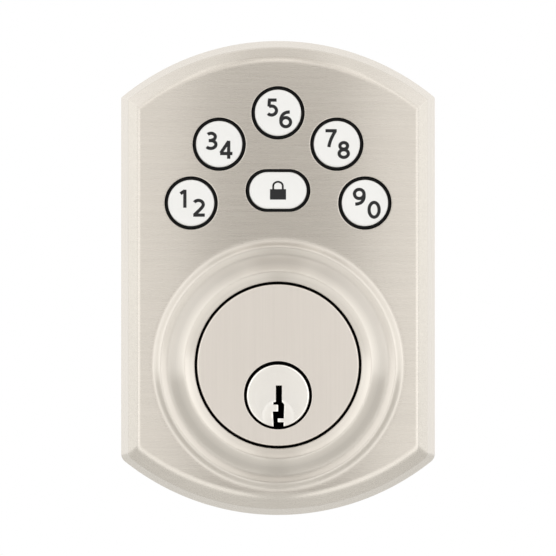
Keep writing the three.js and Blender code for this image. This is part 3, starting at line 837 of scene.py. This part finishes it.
def ribbon(points, width):
    """A pen stroke's outline: one loop, or an outer and an inner one for a closed path."""
    closed = math.dist(points[0], points[-1]) < 1e-6
    if closed:
        points = points[:-1]
    count = len(points)
    left = []
    right = []
    for i, (x, z) in enumerate(points):
        before = points[i - 1] if closed or i > 0 else points[i]
        after = points[(i + 1) % count] if closed or i < count - 1 else points[i]
        along = Vector((after[0] - before[0], after[1] - before[1])).normalized()
        left.append((x - along.y * width / 2, z + along.x * width / 2))
        right.append((x + along.y * width / 2, z - along.x * width / 2))
    if closed:
        return [right, left]
    return [left + right[::-1]]


def stamp(name, loops, x, z, y):
    """A thick prism over one outline, or between an outer and an inner one."""
    skin = Skin()
    fronts = [skin.ring([(x + u, z + v) for u, v in loop], y - 1) for loop in loops]
    backs = [skin.ring([(x + u, z + v) for u, v in loop], y + 1) for loop in loops]
    for front, back in zip(fronts, backs):
        skin.bridge(front, back)
    skin.cap(*fronts)
    skin.cap(*backs)
    return skin.finish(name, KEY_PRINT)


def print_on(name, outlines, x, z, body):
    """Joins overlapping outlines into one thin printed piece on a key's crown."""
    parts = [stamp(f"{name}_{i}", loops, x, z, CROWN_Y) for i, loops in enumerate(outlines)]
    piece = parts[0]
    if len(parts) > 1:
        carve(piece, parts[1:], "UNION")
    for vertex in piece.data.vertices:
        side = 1 if vertex.co.y > CROWN_Y * MM else -1
        vertex.co.y = (CROWN_Y + side * PRINT_THICKNESS) * MM
    final = wrap(name, piece.data, KEY_PRINT, sharp=30)
    bpy.data.objects.remove(piece)
    place_piece(final, body, "key_print")


# Each digit's centre from its key's: the first is up to the left, the second down to the right.
DIGIT_PLACES = {
    "1": (-1.75, 0.92), "2": (1.69, -1.05), "3": (-1.62, 0.75), "4": (1.55, -1.25),
    "5": (-1.2, 1.15), "6": (1.65, -1.45), "7": (-1.27, 1.3), "8": (1.5, -1.3),
    "9": (-1.2, 1.35), "0": (2.0, -1.5),
}
DIGIT_WIDENING = {"0": 1.12, "4": 1.1, "2": 1.15, "3": 1.2, "6": 1.1, "7": 1.12, "9": 1.1}
DIGIT_NAMES = ["zero", "one", "two", "three", "four", "five", "six", "seven", "eight", "nine"]


def make_digits(node, digits):
    spot = middle(node)
    for digit in digits:
        dx, dz = DIGIT_PLACES[digit]
        wide = DIGIT_WIDENING.get(digit, 1.05)
        strokes = [[(wide * u, v) for u, v in points] for points in glyph_strokes(digit)]
        outlines = [ribbon(points, STROKE) for points in strokes]
        print_on(f"digit_{DIGIT_NAMES[int(digit)]}", outlines, spot.x + dx, spot.z + dz, node)


def make_padlock():
    spot = middle("lock_key")
    half = 1.76
    low, high = -2.02, 0.27
    body = [(-half, low), (half, low), (half, high), (-half, high)]
    reach = 1.05
    shackle = [(-reach, high - 0.3), *arc(0, 0.95, reach, 0.93, 180, 0, 24), (reach, high - 0.3)]
    print_on("padlock_sign", [[body], ribbon(shackle, 0.42)], spot.x, spot.z, "lock_key")


# ---- Keypad mat ----


def make_mat():
    """The black silicone collars that show round the keys, on their sheet."""
    low, high = span("keypad_mat")
    sheet_front = high.y - 0.7
    inside, outside = 0.14, 0.59
    skin = Skin()
    arch = [(x, z) for x, z in cover_outline(COVER_HIGH.z - high.z) if z > low.z + 6]
    half_width = max(x for x, _ in arch)
    area = [(half_width, low.z), *arch, (-half_width, low.z)]
    front = skin.ring(area, sheet_front)
    back = skin.ring(area, high.y)
    skin.bridge(front, back)
    path = rounded_path(
        [(outside + 0.4, sheet_front, 0), (outside, sheet_front, -0.1), (outside, low.y, 0.12),
         (inside, low.y, 0.12), (inside, high.y, 0)],
        steps=3, support=0.04,
    )
    loops = []
    for node in ROUND_KEYS:
        spot = middle(node)
        loops.append(lambda grow, spot=spot: circle(KEY_RADIUS + grow, spot.x, spot.z, 80))
    spot = middle("lock_key")
    width, height = LOCK_CAP
    loops.append(lambda grow: stadium(width + 2 * grow, height + 2 * grow, spot.x, spot.z))
    collars = [skin.sweep(path, loop) for loop in loops]
    skin.cap(front, *[top for top, _ in collars])
    skin.cap(back, *[base for _, base in collars])
    mat = skin.finish("keypad_collars", RUBBER, sharp=40)
    place_piece(mat, "lock_body", "keypad_rubber", "keypad_mat")


# ---- Cylinder ----


def make_disc():
    skin = Skin()
    front, back = DISC_LOW.y, DISC_HIGH.y
    bore = 7.42
    rim = rounded_path([(DISC_RADIUS - 1.2, front, 0), (DISC_RADIUS, front, 0.3),
                        (DISC_RADIUS, back, 0.2), (DISC_RADIUS - 1, back, 0)], steps=5)
    # the disc's rim behind its front edge is painted near black as shade
    rim = shade_where(rim, lambda v: v > front + 0.4)
    outer_front, outer_back = skin.sweep(rim, round_loop(0, 0, 192))
    edge = rounded_path([(bore + 0.7, front, 0), (bore, front, 0.2), (bore, back, 0)], steps=4)
    # the bore's wall behind its front edge is painted near black as shade
    edge = shade_where(edge, lambda v: v > front + 0.3)
    inner_front, inner_back = skin.sweep(edge, round_loop(0, PLUG_Z + 0.1, 128))
    skin.cap(outer_front, inner_front)
    skin.cap(outer_back, inner_back)
    disc = skin.finish("cylinder_disc", DISC_METAL, sharp=50)
    place_piece(disc, "lock_body", "disc_metal", "cylinder_face")


def make_gap_shade_ring():
    """A thin black ring behind the disc's edge: a dark sheet that paints the gap round the disc in
    shade.
    """
    front = max(DISC_HIGH.y, INNER_Y) + 0.05
    back = front + 0.5
    inner, outer = DISC_RADIUS - 1.6, RING_HOLE_RADIUS + 1.2
    edge = 0.1
    skin = Skin()
    path = rounded_path([(outer - 1, front, 0), (outer, front, edge), (outer, back, edge),
                         (inner, back, edge), (inner, front, edge), (outer - 1, front, 0)], steps=3)
    rings = [skin.ring(circle(radius, count=128), depth) for radius, depth, _ in path[1:-1]]
    for first, second in zip(rings, rings[1:] + rings[:1]):
        skin.bridge(first, second)
    shade_ring = skin.finish("gap_shade_ring", RUBBER, sharp=50)
    place_piece(shade_ring, "lock_body", "keypad_rubber")


def prism_piece(name, loop, front, back, back_loop=None):
    skin = Skin()
    first = skin.ring(loop, front)
    last = skin.ring(back_loop or loop, back)
    skin.bridge(first, last)
    skin.cap(first)
    skin.cap(last)
    return skin.finish(name, PLUG_METAL)


def make_plug():
    front, back = PLUG_LOW.y, PLUG_HIGH.y
    head = (PLUG_HIGH.x - PLUG_LOW.x) / 2
    head_back = front + 3.6
    barrel, tail = 6.35, 5.6  # radii behind the head
    tail_front = 9.1
    path = [(0.0, front, 0.0)]
    path += rounded_path(
        [(head - 1.5, front, 0), (head, front, 0.35), (head, head_back, 0.1),
         (barrel, head_back, -0.1), (barrel, tail_front, 0.2), (tail, tail_front, -0.1),
         (tail, back, 0.3), (0.0, back, 0)],
        steps=4, support=0.06,
    )
    plug = turned("plug_barrel", path, PLUG_METAL, 0, PLUG_Z, 160)
    keyway = [
        (-0.48, 2.27), (-0.48, -1.3), (-1.03, -1.42), (-1.03, -1.95), (-0.1, -1.95), (0.02, -2.07),
        (0.02, -3.31), (-0.1, -3.43), (-1.15, -3.43), (-0.92, -head - 1), (1.2, -head - 1),
        (1.25, -5.77), (0.06, -5.77), (-0.04, -5.67), (-0.04, -5.06), (0.06, -4.96), (1.3, -4.96),
        (1.38, -1.92), (0.87, -1.3), (0.87, 2.27),
    ]
    slot = prism_piece("keyway_tool", [(x, PLUG_Z + z) for x, z in keyway], front - 1, 5.5)
    dish_z, dish_radius, dish_depth = PLUG_Z - 4.3, 3.6, 0.12
    bow, steps = 1.1, 8  # the dish's half angle
    dish_path = []
    for i in range(steps + 1):
        angle = bow * i / steps
        flat = (1 - math.cos(angle)) / (1 - math.cos(bow))
        out = dish_radius * math.sin(angle) / math.sin(bow)
        dish_path.append((out, front + dish_depth * (1 - flat), 0.0))
    dish_path.append((dish_radius, front - 1, 0.0))
    dish = turned("dish_tool", dish_path, PLUG_METAL, 0, dish_z, 96)
    carve(plug, [slot, dish])
    soften(plug, 0.05)
    place_piece(plug, "plug", "plug_metal", "plug")


# ---- What the door side shows ----


def make_gasket():
    back = span("door_gasket")[1].y
    outer, inner = 0.3, 5.5  # from the cover's outline
    gasket = block("gasket", lambda inset: cover_outline(outer + inset), RIM_Y + 0.03, back, 0.2,
                   FOAM, holes=[lambda inset: cover_outline(inner - inset)], sharp=60)
    place_piece(gasket, "lock_body", "gasket_foam", "door_gasket")


def box_loop(low_x, low_z, high_x, high_z, corner=0.8, steps=5):
    """A rectangle with rounded corners, as a function of its inset."""

    def loop(inset):
        points = []
        radius = max(0.05, corner - inset)
        for k, (sx, sz) in enumerate(((1, 1), (-1, 1), (-1, -1), (1, -1))):
            cx = (high_x - inset - radius) if sx > 0 else (low_x + inset + radius)
            cz = (high_z - inset - radius) if sz > 0 else (low_z + inset + radius)
            for i in range(steps + 1):
                angle = math.pi / 2 * (k + i / steps)
                points.append((cx + radius * math.cos(angle), cz + radius * math.sin(angle)))
        return points

    return loop


def make_back_plate():
    low, high = span("back_plate")
    holes = []
    for node in PLATE_SCREWS + CYLINDER_SCREWS:
        spot = middle(node)
        holes.append(lambda inset, spot=spot: circle(1.35 + inset, spot.x, spot.z, 32))
    holes.append(lambda inset: circle(14.8 + inset, 0, 0, 160))
    port = box_loop(-5.5, 17.2, 5.5, 22.8)
    holes.append(lambda inset: port(-inset))
    plate = block("plate", lambda inset: cover_outline(3 + inset), low.y, high.y, 0.2, STEEL,
                  holes=holes, sharp=50)
    place_piece(plate, "lock_body", "plated_steel", "back_plate")


def make_bore_ring():
    low, high = span("bore_ring")
    outer, inner = 26.2, 24.4
    path = rounded_path(
        [(inner + 0.9, low.y, 0), (outer, low.y, 0.2), (outer, high.y, 0.6), (inner, high.y, 0.4),
         (inner, low.y, 0.2), (inner + 0.9, low.y, 0)],
        steps=5, support=0.08,
    )
    skin = Skin()
    skin.sweep(path, round_loop(0, 0, 192))
    ring = skin.finish("bore_spigot", BLACK_PLASTIC, sharp=50)
    place_piece(ring, "lock_body", "black_plastic", "bore_ring")


def make_post(side):
    node = f"mounting_post_{side}"
    spot = middle(node)
    low, high = span(node)
    radius = (high.x - low.x) / 2
    pitch, crest, root = 0.7, 1.8, 1.55
    thread = []
    depth = high.y - 0.4
    while depth > high.y - 8:
        thread += [(crest, depth, 0.0), (root, depth - pitch / 2, 0.0)]
        depth -= pitch
    path = rounded_path(
        [(0.0, low.y, 0), (radius, low.y, 0.2), (radius, high.y, 0.4), (2.1, high.y, 0.1),
         (crest, high.y - 0.3, 0)],
        steps=4, support=0.06,
    )
    path += thread + [(1.5, high.y - 11, 0.0), (0.0, high.y - 11.5, 0.0)]
    post = turned(f"post_{side}", path, STEEL, spot.x, spot.z, 64, sharp=SHARP)
    place_piece(post, "lock_body", "plated_steel", node)


def make_screw(node, name):
    """A pan-head screw with a cross recess, its head towards the door."""
    spot = middle(node)
    low, high = span(node)
    head = (high.x - low.x) / 2
    shank, thread_depth, pitch = 1.0, 0.22, 0.5
    head_y = high.y - 1.4 if head > 2.4 else high.y - 1.2
    path = [(0.0, high.y - 0.05, 0.0), (head * 0.4, high.y, 0.0)]
    path += rounded_path([(head * 0.55, high.y, 0), (head, high.y - 0.35, 0.5),
                          (head, head_y, 0.12), (shank, head_y, 0)], steps=5, support=0.05)
    depth = head_y - 0.4
    while depth > low.y + 0.9:
        path += [(shank, depth, 0.0), (shank - thread_depth, depth - thread_depth, 0.0)]
        depth -= pitch
    path += [(0.5, low.y + 0.2, 0.0), (0.0, low.y, 0.0)]
    screw = turned(name, path, STEEL, spot.x, spot.z, 48, sharp=SHARP)
    arm, wide, taper = head * 0.58, 0.32, 0.45
    cross = []
    for along_x in (True, False):
        half_x, half_z = (arm, wide) if along_x else (wide, arm)
        bottom = rectangle(half_x * taper, half_z * taper, spot.x, spot.z)
        mouth = rectangle(half_x, half_z, spot.x, spot.z)
        cross.append(prism_piece(f"cross_tool_{along_x}", bottom, high.y - 0.85, high.y + 1, mouth))
    carve(screw, cross)
    smooth(screw.data, SHARP)
    coat(screw, STEEL)
    place_piece(screw, "lock_body", "plated_steel", node)


def make_cylinder_back():
    """The brass cylinder body, whose back shows inside the bore ring."""
    low, high = span("cylinder_housing")
    radius, hole, ear = 14.2, 6.47, 3.2
    ear_front, ear_back, ear_start = -6.5, -3.7, 12.2
    skin = Skin()
    outer = rounded_path([(radius - 2, low.y, 0), (radius, low.y, 0.3), (radius, high.y, 0.5),
                          (radius - 2, high.y, 0)], steps=5)
    bore = rounded_path([(8.0, low.y, 0), (hole, low.y, 0.2), (hole, high.y, 0.4),
                         (8.0, high.y, 0)], steps=4)
    # the front millimetre of the body, seen through the gap round the plug, is painted near black
    # as shade
    outer = shade_where(outer, lambda v: v < low.y + 1)
    bore = shade_where(bore, lambda v: v < low.y + 1)
    front, back = skin.sweep(outer, round_loop(0, 0, 160))
    bore_front, bore_back = skin.sweep(bore, round_loop(0, PLUG_Z, 96))
    skin.cap(front, bore_front)
    skin.cap(back, bore_back)
    body = skin.finish("cylinder_body", BRASS, sharp=40)
    ears = []
    for node in CYLINDER_SCREWS:
        spot = middle(node)
        tip = Vector((spot.x, spot.z))
        reach = tip.normalized()
        side = Vector((-reach.y, reach.x)) * ear
        start = reach * ear_start
        loop = [tuple(start + side), tuple(start - side)]
        base = math.atan2(reach.y, reach.x) - math.pi / 2
        for i in range(13):
            angle = base + math.pi * i / 12
            loop.append((tip.x + ear * math.cos(angle), tip.y + ear * math.sin(angle)))
        ears.append(prism_piece(f"ear_{node}", loop, ear_front, ear_back))
    carve(body, ears, "UNION")
    strip_low, strip_high = span("pin_chamber_strip")
    half = (strip_high.x - strip_low.x) / 2 + 0.3
    notch = box_loop(-half, 12.4, half, radius + 1, corner=0.02, steps=1)(0)
    carve(body, [prism_piece("strip_slot_tool", notch, strip_low.y - 0.3, strip_high.y + 0.3)])
    soften(body, 0.12)
    coat(body, BRASS)
    place_piece(body, "lock_body", "brass", "cylinder_housing")


def make_end_cap():
    """The knurled cup on the plug's end."""
    low, high = span("plug_end_cap")
    radius = (high.x - low.x) / 2
    teeth, tooth_depth = 40, 0.16
    inner, hole, floor = 5.8, 3.4, high.y - 1.0

    def loop(r):
        points = []
        count = teeth * 4
        for i in range(count):
            deep = tooth_depth if (i % 4) in (1, 2) and r > radius - 0.9 else 0.0
            angle = TAU * i / count
            points.append(((r - deep) * math.cos(angle), PLUG_Z + (r - deep) * math.sin(angle)))
        return points

    skin = Skin()
    path = rounded_path(
        [(inner + 0.5, low.y, 0), (radius - 0.5, low.y, 0), (radius, low.y + 0.5, 0.1),
         (radius, high.y - 0.6, 0.1), (radius - 0.6, high.y, 0.1), (hole, high.y, 0.25),
         (hole, floor, 0.1), (inner, floor, 0), (inner, low.y, 0.15), (inner + 0.5, low.y, 0)],
        steps=3, support=0.05,
    )
    skin.sweep(path, loop)
    cap = skin.finish("end_cap", BRASS, sharp=30)
    place_piece(cap, "plug", "brass", "plug_end_cap")


def make_tailpiece():
    low, high = span("tailpiece")
    half_thick, half_wide = 0.75, 3.0
    head_front, head_back, head = 12.3, 13.1, 4.9
    path = rounded_path([(0.0, head_front, 0), (head, head_front, 0.12), (head, head_back, 0.12),
                         (0.0, head_back, 0)], steps=3, support=0.05)
    piece = turned("tail_blade", path, STEEL, 0, PLUG_Z, 64)
    root, tip = head_back - 0.2, high.y
    profile = [(root, -half_wide), (tip - 2, -half_wide), (tip, -half_wide + 1.6),
               (tip, half_wide - 1.6), (tip - 2, half_wide), (root, half_wide)]
    mesh = bpy.data.meshes.new("tail_tool")
    points = [Vector((x, y, PLUG_Z + z)) * MM for x in (-half_thick, half_thick)
              for y, z in profile]
    count = len(profile)
    faces = [tuple(range(count)), tuple(range(2 * count - 1, count - 1, -1))]
    faces += [(i, (i + 1) % count, count + (i + 1) % count, count + i) for i in range(count)]
    mesh.from_pydata(points, [], faces)
    blade = wrap("tail_tool", mesh, STEEL)
    bar = prism_piece("bar_tool", rectangle(0.9, 4.2, 0, PLUG_Z), low.y, head_front + 0.1)
    carve(piece, [blade, bar], "UNION")
    soften(piece, 0.15)
    coat(piece, STEEL)
    place_piece(piece, "tailpiece", "plated_steel", "tailpiece")


# ---- Build ----


def dress_hidden_nodes():
    """Every CAD node that stays wears its slot's material."""
    slots = {part["node"]: part["material_slot"] for part in frame["record"]["subparts"]}
    for name, node in frame["nodes"].items():
        node.data.materials.clear()
        node.data.materials.append(MATERIALS[slots[name]])


dress_hidden_nodes()
make_cover()
make_mat()
for key_node, key_digits in ROUND_KEYS.items():
    make_key(key_node)
    make_digits(key_node, key_digits)
make_lock_key()
make_padlock()
make_disc()
make_gap_shade_ring()
make_plug()
make_gasket()
make_back_plate()
make_bore_ring()
make_post("left")
make_post("right")
for number, screw_node in enumerate(PLATE_SCREWS + CYLINDER_SCREWS):
    make_screw(screw_node, f"screw_{number + 1}")
make_cylinder_back()
make_end_cap()
make_tailpiece()


# ---- Studio ----

CAMERA_DISTANCE = 1.2  # metres from the door's plane
FRAME_WIDTH = 0.1237  # metres seen across the cover's rim
SENSOR = 36
FLOOR_Z = -1.0
# The room's tone by how far a direction points to the side, from 0 to 1 at right angles.
ROOM_TONES = [
    (0.0, (0.50, 0.475, 0.445)), (0.10, (0.54, 0.515, 0.485)), (0.35, (1.0, 0.985, 0.96)),
    (0.65, (1.2, 1.19, 1.18)), (1.0, (1.42, 1.42, 1.4)),
]
ROOM_PEAK = 1.5


def softbox(name, place, target, size, brightness):
    """A rectangular area light; brightness is its radiance next to the room's."""
    light = bpy.data.lights.new(name, "AREA")
    light.shape = "RECTANGLE"
    light.size, light.size_y = size
    light.energy = brightness * math.pi * size[0] * size[1]
    lamp = new_object(name, light)
    lamp.location = place
    lamp.rotation_mode = "QUATERNION"
    lamp.rotation_quaternion = (Vector(target) - Vector(place)).to_track_quat("-Z", "Y")
    lamp.visible_camera = False


def make_world():
    """White to the camera; to the metal, a soft room with a darker upright band at the front."""
    n = Nodes(bpy.data.worlds.new("studio"))
    bpy.context.scene.world = n.owner
    n.tree.nodes.clear()
    way = n.add("SeparateXYZ", None, i0=n.add("TexCoord").outputs["Generated"]).outputs
    smoothed = {"interpolation_type": "SMOOTHSTEP"}
    behind = n.add("MapRange", smoothed, i0=way[1], i1=-0.3, i2=0.3, i3=0.0, i4=0.45).outputs[0]
    across = n.math("MAXIMUM", n.math("ABSOLUTE", way[0]), behind)
    ramp = n.add("ValToRGB", None, i0=across)
    ramp.color_ramp.interpolation = "EASE"
    stops = ramp.color_ramp.elements
    for place, _ in ROOM_TONES[1:-1]:
        stops.new(place)
    for stop, (place, tone) in zip(stops, ROOM_TONES):
        stop.position = place
        stop.color = (*[value / ROOM_PEAK for value in tone], 1)
    low, high = 0.92 * ROOM_PEAK, 1.14 * ROOM_PEAK  # strength below and above
    height = n.add("MapRange", smoothed, i0=way[2], i1=-0.8, i2=0.8, i3=low, i4=high).outputs[0]
    room = n.add("Background", None, i0=ramp.outputs[0], i1=height).outputs[0]
    seen = n.add("Background", None, i0=(1, 1, 1, 1), i1=1.0).outputs[0]
    is_camera = n.add("LightPath").outputs["Is Camera Ray"]
    mixed = n.add("MixShader", None, i0=is_camera, i1=room, i2=seen)
    n.put(mixed.outputs[0], n.add("OutputWorld").inputs["Surface"])


def make_floor():
    mesh = bpy.data.meshes.new("floor")
    half = 8.0
    mesh.from_pydata([(x, y, FLOOR_Z) for x, y in rectangle(half, half)], [], [(0, 1, 2, 3)])
    floor = new_object("floor", mesh)
    coat(floor, moulded("floor_paper", (0.72, 0.72, 0.71), 0.9, 40.0, 0.2, 0.01))


def make_camera():
    camera = bpy.data.cameras.new("camera")
    camera.sensor_width = SENSOR
    camera.lens = SENSOR * (CAMERA_DISTANCE + RIM_Y * MM) / FRAME_WIDTH
    camera.clip_start = 0.01
    camera.clip_end = 100
    holder = new_object("camera", camera)
    holder.location = (0, -CAMERA_DISTANCE, COVER_Z * MM)
    holder.rotation_euler = (math.pi / 2, 0, 0)
    bpy.context.scene.camera = holder


make_world()
make_floor()
make_camera()
PANEL_Y = -0.17
PANEL_Z = -0.06
PANEL_GAP = 0.021  # from the middle to each front panel's inner edge
PANEL_SIZES = ((0.06, 0.56), (0.11, 0.36), (0.18, 0.22))  # three layers, so the panels fade out
for panel_side, side_name, panel_light in ((-1, "left", 0.5), (1, "right", 0.55)):
    for layer, (panel_width, panel_height) in enumerate(PANEL_SIZES):
        panel_x = panel_side * (PANEL_GAP + panel_width / 2)
        softbox(f"{side_name}_panel_{layer}", (panel_x, PANEL_Y, PANEL_Z), (panel_x, 0, PANEL_Z),
                (panel_width, panel_height), panel_light)
softbox("gap_panel", (0, PANEL_Y, 0.19), (0, 0, 0.19), (2 * PANEL_GAP, 0.16), 0.8)
softbox("top_panel", (0, -0.5, 1.0), (0, 0, 0), (0.8, 0.5), 0.4)
bpy.context.scene.view_settings.view_transform = "Standard"
